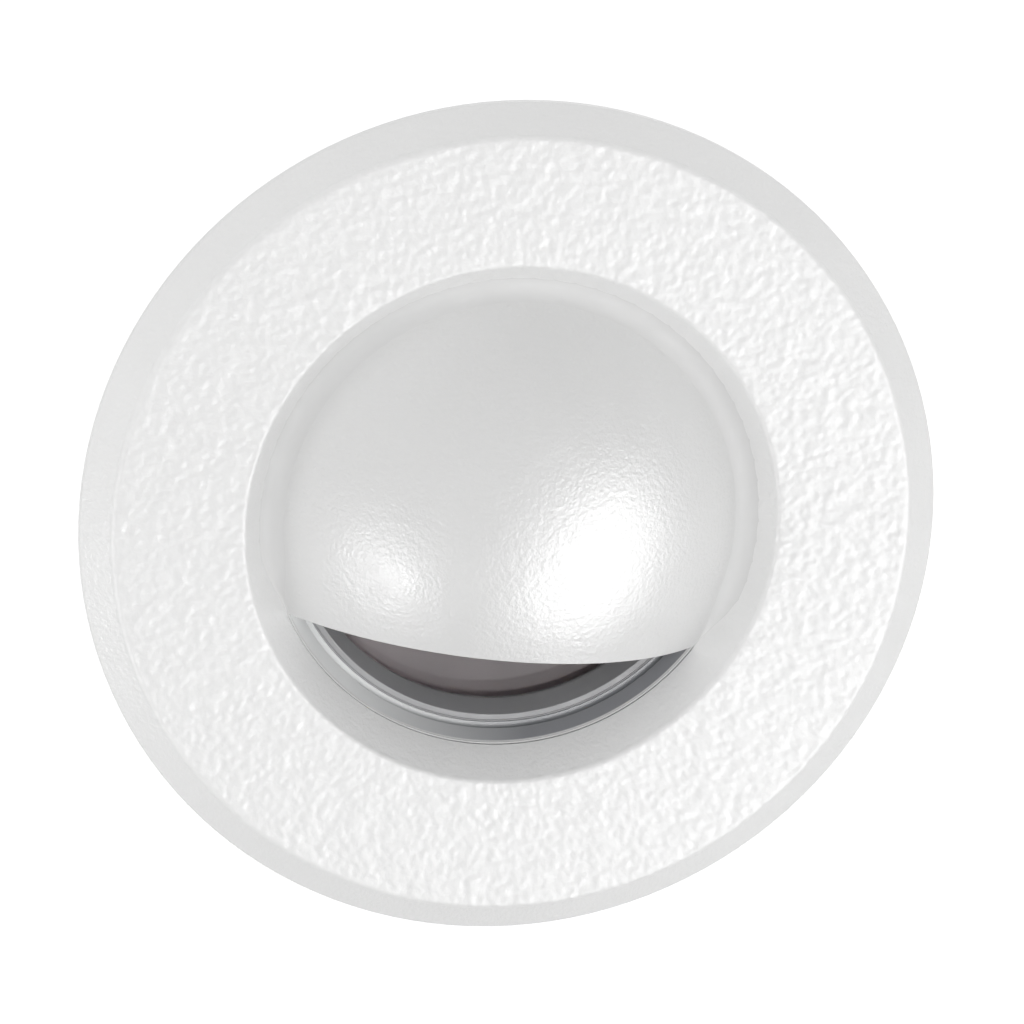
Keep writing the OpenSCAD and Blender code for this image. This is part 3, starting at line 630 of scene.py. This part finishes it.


# Bead of paint in the valley between the hood and the recess, in a white darker than the hood's as
# painted shade of the valley

def fillet_section(r, arc):
    """Section of a fillet that lies against both the dome and the cone, as (radius, depth)."""
    sink = 0.012
    root = 0.12
    vertex = Vector((THROAT_R, 0))
    ball = Vector((0, DOME_Y))
    along = Vector((RECESS_R - THROAT_R, FLANGE_FACE_Y)).normalized()
    off = Vector((along.y, -along.x))
    start = vertex + off * r - ball
    lean = start.dot(along)
    reach = math.sqrt(lean ** 2 - start.length_squared + (HOOD_R + r) ** 2) - lean
    centre = ball + start + along * reach
    on_dome = ball + (centre - ball) * (HOOD_R / (HOOD_R + r))
    on_cone = vertex + along * reach
    first, last = [math.atan2(*(p - centre).yx) for p in (on_dome, on_cone)]
    turn = (last - first + math.pi) % (2 * math.pi) - math.pi
    inward = (vertex - centre).normalized()
    points = []
    for i in range(arc + 1):
        t = first + turn * i / arc
        points.append(centre + Vector((math.cos(t), math.sin(t))) * r + inward * sink)
    return points + [vertex + inward * root]


def valley_bead():
    """Fillet along the hood's edge, from one tip of the slot over the top to the other.
    It grows from a thin line to its full size over the taper, in degrees."""
    count = 240
    arc = 14
    taper = 17.0
    thin = 0.06
    tip = math.degrees(math.asin(SLOT_DROP / THROAT_R))
    verts = []
    for k in range(count + 1):
        share = k / count
        near = (180 + 2 * tip) * min(share, 1 - share)
        rise = clamp(near / taper)
        size = thin + (1 - thin) * rise * rise * (3 - 2 * rise)
        for p in fillet_section(BEAD_R * size, arc):
            own_tip = math.asin(SLOT_DROP / p.x)
            t = -own_tip + (math.pi + 2 * own_tip) * share
            verts.append((p.x * math.cos(t), p.y, p.x * math.sin(t)))
    n = arc + 2
    faces = [tuple(reversed(range(n))), tuple(count * n + i for i in range(n))]
    for k in range(count):
        faces += band(k * n, (k + 1) * n, n, True)
    return sharpen(add_object("valley_bead", verts, faces))


place(valley_bead(), bead_shaded_paint, "root", "white_powder_coat")


# Thin lines of sealant

def sealing_line(name, r, y, wire):
    """Thin ring of sealant in the gap between two round edges."""
    turns = 200
    sides = 8
    verts = []
    for k in range(turns):
        a = 2 * math.pi * k / turns
        for out, down in circle(wire, sides):
            verts.append(((r + out) * math.cos(a), y + down, (r + out) * math.sin(a)))
    faces = []
    for k in range(turns):
        faces += band(k * sides, (k + 1) % turns * sides, sides, True)
    return add_object(name, verts, faces)


# The throat's seal wears the bead's darker white, painted shade of the gap
throat_seal = sealing_line("throat_seal", r=THROAT_R - 0.02, y=0.16, wire=0.11)
place(throat_seal, bead_shaded_paint, "root", "white_powder_coat")
sill_seal = sealing_line("sill_seal", r=SILL_R - 0.08, y=1.80, wire=0.12)
place(sill_seal, grey_ring, "root", "grey_plastic")


# Glass: a hair thinner than its solid, so that no face of it lies in a gasket's face

def glass_disc():
    """Round pane with bevelled edges."""
    gap = 0.03
    bevel = 0.40
    side_r = GLASS_R - 0.05
    shape = spun([
        (0, GLASS_FRONT_Y + gap),
        (side_r - bevel, GLASS_FRONT_Y + gap),
        (side_r, GLASS_FRONT_Y + bevel),
        (side_r, GLASS_REAR_Y - bevel),
        (side_r - bevel, GLASS_REAR_Y - gap),
        (0, GLASS_REAR_Y - gap),
    ], 120)
    return sharpen(add_object("glass_disc", *shape))


place(glass_disc(), clear_glass, "root", "clear_glass", "cover_glass")


# Screws

def thread(r, length, pitch):
    """Threaded shank from z = 0 down to z = -length, with a short point."""
    n = 20
    per_turn = 6
    groove = 0.16
    tip = 0.45
    rows = max(6, int(length / pitch * per_turn))
    verts = []
    for i in range(rows + 1):
        z = -length * i / rows
        point = clamp((length + z) / (1.2 * r))
        for k in range(n):
            a = 2 * math.pi * k / n
            phase = (z / pitch - k / n) % 1.0
            crest = 1 - abs(2 * phase - 1)
            rad = r * (1 - groove * (1 - crest)) * (tip + (1 - tip) * point)
            verts.append((rad * math.cos(a), rad * math.sin(a), z))
    faces = []
    for i in range(rows):
        faces += band(i * n, (i + 1) * n, n)
    faces.append(tuple(range(n)))
    faces.append(tuple(reversed(range(rows * n, (rows + 1) * n))))
    return verts, faces


def cross_head(r, h):
    """Pan head on z = 0 with a cross recess, made as a grid of rings and ray angles."""
    n = 64
    recess = 0.5 * h
    arm = 0.62 * r
    half = 0.14 * r
    rings = (0.10, 0.16, 0.24, 0.32, 0.42, 0.52, 0.60, 0.66, 0.76, 0.86)
    edge = ((0.95, 0.80), (1.0, 0.62), (1.0, 0.0), (0.3, 0.0))
    verts = [(0.0, 0.0, h - recess)]
    for f in rings:
        crown = h - 0.12 * h * f * f
        for x, y in circle(f * r, n):
            near = min(abs(x), abs(y))
            far = max(abs(x), abs(y))
            inside = near < half and far < arm
            taper = 1 - 0.55 * far / arm
            verts.append((x, y, crown - recess * taper if inside else crown))
    for f, height in edge:
        verts += [(x, y, height * h) for x, y in circle(f * r, n)]
    rows = len(rings) + len(edge)
    faces = [(0, 1 + k, 1 + (k + 1) % n) for k in range(n)]
    for i in range(rows - 1):
        faces += band(1 + i * n, 1 + (i + 1) * n, n)
    base = 1 + (rows - 1) * n
    faces.append(tuple(base + k for k in reversed(range(n))))
    return verts, faces


def screw(head_r, head_h, shank_r, length, pitch):
    """Screw with its seat on z = 0."""
    return join_shapes([cross_head(head_r, head_h), thread(shank_r, length, pitch)])


def body_screw(length, pitch):
    """Screw of the size used all over the body, apart from the clips."""
    return screw(SCREW_HEAD_R, SCREW_HEAD_H, SCREW_R, length, pitch)


def along_y(x, y, z, backward=True, turn=0.0):
    """Matrix that puts a shape's z = 0 at a point, with its top backward or forward."""
    tilt = -90 if backward else 90
    return (
        Matrix.Translation((x, y, z))
        @ Matrix.Rotation(math.radians(tilt), 4, "X")
        @ Matrix.Rotation(turn, 4, "Z")
    )


def at_angle(angle, reach):
    """Place across and up at an angle about the light's axis."""
    a = math.radians(angle)
    return reach * math.cos(a), reach * math.sin(a)


def add_screws(name, shape, body="root"):
    """Screws with recess and thread in place of a node of the solids."""
    obj = sharpen(add_object(name + "_detail", *shape), 40)
    place(obj, zinc_steel, body, "zinc_steel", name)


def ring_of_screws(name, shape, angles, reach, y, backward=True):
    """The same screw at several angles about the light's axis, each turned differently."""
    made = []
    for i, angle in enumerate(angles):
        x, z = at_angle(angle, reach)
        made.append(moved(shape, along_y(x, y, z, backward, 0.4 + 1.1 * i)))
    add_screws(name, join_shapes(made))


def clip_screws(side, sign):
    """Both screws of a clip's bracket."""
    shape = screw(CLIP_SCREW_HEAD_R, CLIP_SCREW_HEAD_H, CLIP_SCREW_R, CLIP_SCREW_L, CLIP_SCREW_PITCH)
    made = []
    for i, y in enumerate(CLIP_SCREW_Y):
        made.append(moved(shape, (
            Matrix.Translation((sign * PLATE_X, y, 0))
            @ Matrix.Rotation(math.radians(90 * sign), 4, "Y")
            @ Matrix.Rotation(0.3 + 0.9 * i, 4, "Z")
        )))
    add_screws(side + "_clip_screws", join_shapes(made))


ring_of_screws("bezel_screws", body_screw(BEZEL_SCREW_L, COARSE_PITCH),
               BEZEL_ANGLES, BEZEL_SCREW_REACH, BODY_FLANGE_Y)
ring_of_screws("rear_cover_screws", body_screw(COVER_SCREW_L, COARSE_PITCH),
               COVER_ANGLES, COVER_SCREW_REACH, COVER_BACK_Y)
ring_of_screws("led_board_screws", body_screw(BOARD_SCREW_L, FINE_PITCH),
               BEZEL_ANGLES, BOARD_SCREW_REACH, BOARD_Y, False)
ring_of_screws("driver_board_screws", body_screw(DRIVER_SCREW_L, FINE_PITCH),
               BEZEL_ANGLES, DRIVER_SCREW_REACH, DRIVER_BACK_Y)
clip_screws("left", -1)
clip_screws("right", 1)


# Small electronics

# Chips: across, up, width, length, height, taper and legs on each side
CHIPS = (
    (0.5, 2.0, 3.9, 5.0, 1.5, 0.35, 4),
    (-8.0, -5.5, 2.6, 3.0, 1.1, 0.25, 3),
)
# Small resistors: across, up and turn
RESISTORS = (
    (5.0, 7.5, 0.3),
    (2.2, 8.2, 1.4),
    (-2.5, -3.5, 0.0),
    (2.6, -3.0, 1.2),
    (-4.6, 10.5, 0.2),
    (7.6, -7.6, 0.8),
)
# Bends of a chip's leg: out from its side, and height
LEG_BENDS = ((-0.2, 0.55), (0.25, 0.55), (0.45, 0.12), (0.9, 0.12))
# How deep parts and solder sink into a board, so that no faces coincide
BOARD_SINK = 0.02

INDUCTOR_AT = at_angle(INDUCTOR_ANGLE, INDUCTOR_REACH)
CAPACITOR_SPOTS = [at_angle(angle, CAPACITOR_REACH) for angle in CAPACITOR_ANGLES]


def softened(pts, rounds=3):
    """Cuts the corners of a path, keeping its ends."""
    for _ in range(rounds):
        out = [pts[0]]
        for p, q in zip(pts[:-1], pts[1:]):
            p = Vector(p)
            q = Vector(q)
            out.append(tuple(p.lerp(q, 0.25)))
            out.append(tuple(p.lerp(q, 0.75)))
        out.append(pts[-1])
        pts = out
    return pts


def blob(r, h):
    """Low dome on z = 0, such as a solder joint."""
    n = 16
    steps = 4
    verts = []
    for i in range(steps):
        t = math.pi / 2 * i / steps
        verts += [(x, y, h * math.sin(t)) for x, y in circle(r * math.cos(t), n)]
    verts.append((0, 0, h))
    faces = [tuple(reversed(range(n)))]
    for i in range(steps - 1):
        faces += band(i * n, (i + 1) * n, n, True)
    top = (steps - 1) * n
    faces += [(top + k, top + (k + 1) % n, steps * n) for k in range(n)]
    return verts, faces


def tapered_block(width, length, height, taper):
    """Moulded block on z = 0 with sides that lean in from a line a little below their middle."""
    corners = ((-1, -1), (1, -1), (1, 1), (-1, 1))
    levels = ((0.0, taper / 2), (height * 0.45, 0.0), (height, taper))
    verts = []
    for z, inset in levels:
        verts += [(x * (width / 2 - inset), y * (length / 2 - inset), z) for x, y in corners]
    faces = [(3, 2, 1, 0), (8, 9, 10, 11)]
    for i in range(len(levels) - 1):
        faces += band(i * 4, (i + 1) * 4, 4, True)
    return verts, faces


def chip_legs(width, length, count):
    """Bent legs along two sides of a chip."""
    leg_r = 0.12
    legs = []
    for sign in (-1, 1):
        for i in range(count):
            y = length * ((i + 0.5) / count - 0.5)
            path = [(sign * (width / 2 + out), y, z) for out, z in LEG_BENDS]
            legs.append(swept(softened(path, 2), leg_r, 8))
    return join_shapes(legs)


def lead_spots():
    """Middles of both holes for the leads."""
    x, z = at_angle(LEAD_ANGLE, LEAD_REACH)
    a = math.radians(LEAD_ANGLE)
    return [(x - half * math.sin(a), z + half * math.cos(a)) for half in (-LEAD_GAP / 2, LEAD_GAP / 2)]


def solder_joints(joints, y, h):
    """Solder on a board's front, from the place and radius of each joint."""
    return join_shapes([moved(blob(r, h), along_y(x, y, z, False)) for x, z, r in joints])


def led_crown():
    """Low crown of phosphor on the LED."""
    r = LED_SPOT_R
    side_r = r - 0.05
    return spun([
        (0, LED_SPOT_Y - 0.22),
        (r * 0.6, LED_SPOT_Y - 0.16),
        (r * 0.9, LED_SPOT_Y - 0.06),
        (side_r, LED_SPOT_Y + 0.10),
        (side_r, LED_SPOT_Y + 0.40),
        (0, LED_SPOT_Y + 0.40),
    ], 64)


def led_board_joints():
    """Solder of the leads and of the LED on the front of its board."""
    joints = [(x, z, 1.05) for x, z in lead_spots()]
    joints += [(sign * (LED_SIDE / 2 + 0.4), 0.0, 0.9) for sign in (-1, 1)]
    return solder_joints(joints, BOARD_Y - BOARD_SINK, 0.55)


def driver_joints():
    """Solder of all wired parts on the front of the driver board."""
    joints = [(x, z, 0.85) for x, z in lead_spots()]
    for (x, z), gap in [(INDUCTOR_AT, 3.0)] + [(spot, 1.25) for spot in CAPACITOR_SPOTS]:
        joints += [(x - gap, z, 0.8), (x + gap, z, 0.8)]
    joints += [(sign * TERMINAL_HALF_GAP, -TERMINAL_DROP, 1.0) for sign in (-1, 1)]
    return solder_joints(joints, DRIVER_Y + BOARD_SINK, 0.7)


def winding():
    """Copper wire wound on the driver's coil."""
    steps = 24
    count = WINDING_TURNS * steps
    x, z = INDUCTOR_AT
    path = []
    for i in range(count + 1):
        a = 2 * math.pi * i / steps
        y = DRIVER_BACK_Y + WINDING_START + WINDING_H * i / count
        path.append((x + WINDING_R * math.cos(a), y, z + WINDING_R * math.sin(a)))
    return swept(path, WINDING_WIRE_R, 8)


def chips_and_legs():
    """Bodies of the chips and small resistors on the driver board, and their legs and ends."""
    y = DRIVER_BACK_Y - BOARD_SINK
    resistor = tapered_block(1.4, 1.2, 0.55, 0.08)
    resistor_end = tapered_block(0.4, 1.16, 0.50, 0.06)
    end_reach = 0.85
    bodies = []
    legs = []
    for x, z, width, length, height, taper, count in CHIPS:
        bodies.append(moved(tapered_block(width, length, height, taper), along_y(x, y, z)))
        legs.append(moved(chip_legs(width, length, count), along_y(x, y, z)))
    for x, z, turn in RESISTORS:
        spot = along_y(x, y, z, True, turn)
        bodies.append(moved(resistor, spot))
        for sign in (-1, 1):
            end = spot @ Matrix.Translation((sign * end_reach, 0, 0))
            legs.append(moved(resistor_end, end))
    return bodies, legs


def capacitor_tops():
    """Grooved tops of both capacitors."""
    y = DRIVER_BACK_Y + CAPACITOR_TOP
    top = cross_head(CAPACITOR_TOP_R, CAPACITOR_TOP_H)
    return join_shapes([moved(top, along_y(x, y, z, True, 0.5)) for x, z in CAPACITOR_SPOTS])


def terminal_screws():
    """Screw heads of the terminal block."""
    y = DRIVER_BACK_Y + TERMINAL_H
    head = cross_head(TERMINAL_SCREW_R, TERMINAL_SCREW_H)
    return join_shapes([
        moved(head, along_y(x, y, -TERMINAL_DROP, True, 0.7 * x))
        for x in (-TERMINAL_HALF_GAP, TERMINAL_HALF_GAP)
    ])


def add_part(name, shape, finish, slot, edge=32):
    """New piece of the fixed body, from its points and faces."""
    place(sharpen(add_object(name, *shape), edge), finish, "root", slot)


chip_bodies, chip_ends = chips_and_legs()
add_part("led_phosphor", led_crown(), phosphor, "phosphor")
add_part("led_board_solder", led_board_joints(), solder, "zinc_steel", 60)
add_part("driver_coil_winding", winding(), copper, "copper_winding", 60)
add_part("capacitor_tops", capacitor_tops(), zinc_steel, "zinc_steel", 40)
add_part("terminal_screws", terminal_screws(), zinc_steel, "zinc_steel", 40)
add_part("driver_chips", join_shapes(chip_bodies), black_nylon, "black_nylon")
add_part("driver_solder", join_shapes(chip_ends + [driver_joints()]), solder, "zinc_steel", 45)


# Torsion springs

COIL_END = LEG_TURN - 90 + ARM_REST_ANGLE + 360 * COIL_TURNS
COIL_SPAN = COIL_END - 180
COIL_HEIGHT = COIL_PITCH * COIL_SPAN / 360


def arm_point(along, out, z):
    """Point by its distance along the arm at rest and out from its middle."""
    s = math.sin(ARM_REST)
    c = math.cos(ARM_REST)
    return (s * along + c * out, -c * along + s * out, z)


def spring_path():
    """Middle line of the spring about its pivot, for the right clip."""
    steps = int(COIL_SPAN / 360 * 28)
    coil = []
    for i in range(steps + 1):
        a = math.radians(180 + COIL_SPAN * i / steps)
        coil.append((COIL_R * math.cos(a), COIL_R * math.sin(a), COIL_HEIGHT * (i / steps - 0.5)))
    turn = math.radians(LEG_TURN)
    cross = arm_point(
        COIL_R * math.cos(turn) - CROSSING * math.sin(turn),
        COIL_R * math.sin(turn) + CROSSING * math.cos(turn),
        COIL_HEIGHT / 2,
    )
    leg_out = ARM_T / 2 + WIRE_R + 0.2
    first = [(-COIL_R, FIXED_LEG, -COIL_HEIGHT / 2), (-COIL_R, FIXED_LEG / 2, -COIL_HEIGHT / 2)]
    last = [
        coil[-1],
        cross,
        arm_point(LEG_BEND, leg_out, COIL_HEIGHT / 2),
        arm_point(ARM_LEG, leg_out, COIL_HEIGHT / 2),
    ]
    return first + coil + softened(last)[1:]


for side, sign in (("left", -1), ("right", 1)):
    route = [(sign * (PIVOT_X + x), PIVOT_Y + y, z) for x, y, z in spring_path()]
    wire = add_object(side + "_spring_wire", *swept(route, WIRE_R, 14))
    dress(wire, spring_steel)
    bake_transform(wire)
    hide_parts(side + "_clip_spring")


# Floor and background

FLOOR_Z = -0.25
FLOOR_WHITE = 0.8
FLOOR_GLOW = 0.55
WORLD_LIGHT = 0.66


def seen_directly(tree):
    """1 for the rays by which the camera, gloss or glass shows the background, otherwise 0."""
    rays = tree.nodes.new("ShaderNodeLightPath").outputs
    seen = rays["Is Camera Ray"]
    for kind in ("Is Transmission Ray", "Is Glossy Ray"):
        node = tree.nodes.new("ShaderNodeMath")
        node.operation = "MAXIMUM"
        tree.links.new(seen, node.inputs[0])
        tree.links.new(rays[kind], node.inputs[1])
        seen = node.outputs[0]
    return seen


def strength_by_ray(tree, light, shown):
    """One strength for the rays that light the scene, another for those that show the background."""
    level = tree.nodes.new("ShaderNodeMapRange")
    level.inputs["To Min"].default_value = light
    level.inputs["To Max"].default_value = shown
    tree.links.new(seen_directly(tree), level.inputs["Value"])
    return level.outputs["Result"]


def white_floor():
    """Wide floor that glows where it is seen, so that it shows as plain white. Its corners
    are in millimetres like every mesh here."""
    half = 4000
    corners = [(-half, -half, 0), (half, -half, 0), (half, half, 0), (-half, half, 0)]
    obj = add_object("floor", corners, [(0, 1, 2, 3)], False)
    obj.location = (0, 0, FLOOR_Z)
    paint = bpy.data.materials.new("floor_paint")
    paint.use_nodes = True
    tree = paint.node_tree
    tree.nodes.remove(tree.nodes["Principled BSDF"])
    diffuse = tree.nodes.new("ShaderNodeBsdfDiffuse")
    diffuse.inputs["Color"].default_value = (FLOOR_WHITE, FLOOR_WHITE, FLOOR_WHITE, 1)
    glow = tree.nodes.new("ShaderNodeEmission")
    tree.links.new(strength_by_ray(tree, 0.0, FLOOR_GLOW), glow.inputs["Strength"])
    both = tree.nodes.new("ShaderNodeAddShader")
    tree.links.new(diffuse.outputs[0], both.inputs[0])
    tree.links.new(glow.outputs[0], both.inputs[1])
    tree.links.new(both.outputs[0], tree.nodes["Material Output"].inputs["Surface"])
    obj.data.materials.append(paint)
    return obj


def white_world():
    """Background that shows as white and lights the scene a little less than that."""
    world = bpy.data.worlds.new("world")
    world.use_nodes = True
    tree = world.node_tree
    sky = tree.nodes["Background"]
    sky.inputs["Color"].default_value = (1, 1, 1, 1)
    tree.links.new(strength_by_ray(tree, WORLD_LIGHT, 1.0), sky.inputs["Strength"])
    return world


white_floor()
bpy.context.scene.world = white_world()


# Camera

AZIMUTH = math.radians(-11.85)
ELEVATION = math.radians(16.57)
ROLL = math.radians(8.15)
DISTANCE = 1.2
LENS = 456.75
SENSOR = 36
AIM_RIGHT = 0.000425
AIM_UP = 0.000379

back = Vector((
    math.sin(AZIMUTH) * math.cos(ELEVATION),
    -math.cos(AZIMUTH) * math.cos(ELEVATION),
    math.sin(ELEVATION),
))
right = Vector((math.cos(AZIMUTH), math.sin(AZIMUTH), 0))
up = back.cross(right)
rolled_right = right * math.cos(ROLL) + up * math.sin(ROLL)
rolled_up = up * math.cos(ROLL) - right * math.sin(ROLL)

camera_data = bpy.data.cameras.new("camera")
camera_data.lens = LENS
camera_data.sensor_width = SENSOR
camera_data.clip_start = 0.05
camera_data.clip_end = 30
camera = bpy.data.objects.new("camera", camera_data)
bpy.context.scene.collection.objects.link(camera)
camera.matrix_world = Matrix.Translation(
    back * DISTANCE + rolled_right * AIM_RIGHT + rolled_up * AIM_UP
) @ Matrix((rolled_right, rolled_up, back)).transposed().to_4x4()
bpy.context.scene.camera = camera


# Lamps. The two keys make the highlights on the hood and light nothing. The broad front
# and side lamps light the object without showing in its gloss, and one more fills the back.

def softbox(name, azimuth, elevation, distance, size, power,
            long=None, lean=0, shines=True, lights=True):
    """Soft lamp that faces the object: a disc, or an ellipse whose length leans in the picture."""
    a = math.radians(azimuth)
    e = math.radians(elevation)
    away = Vector((math.sin(a) * math.cos(e), -math.cos(a) * math.cos(e), math.sin(e)))
    data = bpy.data.lights.new(name, "AREA")
    data.shape = "ELLIPSE"
    data.size = size
    data.size_y = long or size
    data.energy = power
    lamp = bpy.data.objects.new(name, data)
    bpy.context.scene.collection.objects.link(lamp)
    t = math.radians(lean)
    length = rolled_right * math.sin(t) + rolled_up * math.cos(t)
    length = (length - away * length.dot(away)).normalized()
    lamp.matrix_world = Matrix.Translation(away * distance) @ Matrix(
        (length.cross(away), length, away)
    ).transposed().to_4x4()
    lamp.visible_camera = False
    lamp.visible_transmission = False
    lamp.visible_glossy = shines
    lamp.visible_diffuse = lights


softbox("front", azimuth=-3, elevation=12, distance=1.0, size=0.8, power=1.66, shines=False)
softbox("right", azimuth=75, elevation=-12, distance=0.8, size=0.5, power=1.34, shines=False)
softbox("left", azimuth=-75, elevation=0, distance=0.8, size=0.5, power=1.04, shines=False)
softbox("key_right", azimuth=39.6, elevation=-19, distance=0.30, size=0.238, power=2.38,
        long=0.355, lean=12, lights=False)
softbox("key_left", azimuth=-46.5, elevation=-32.5, distance=0.36, size=0.075, power=0.90,
        long=0.16, lean=-44, lights=False)
softbox("back_fill", azimuth=160, elevation=40, distance=1.0, size=0.7, power=1.2)

bpy.context.scene.view_settings.view_transform = "Standard"
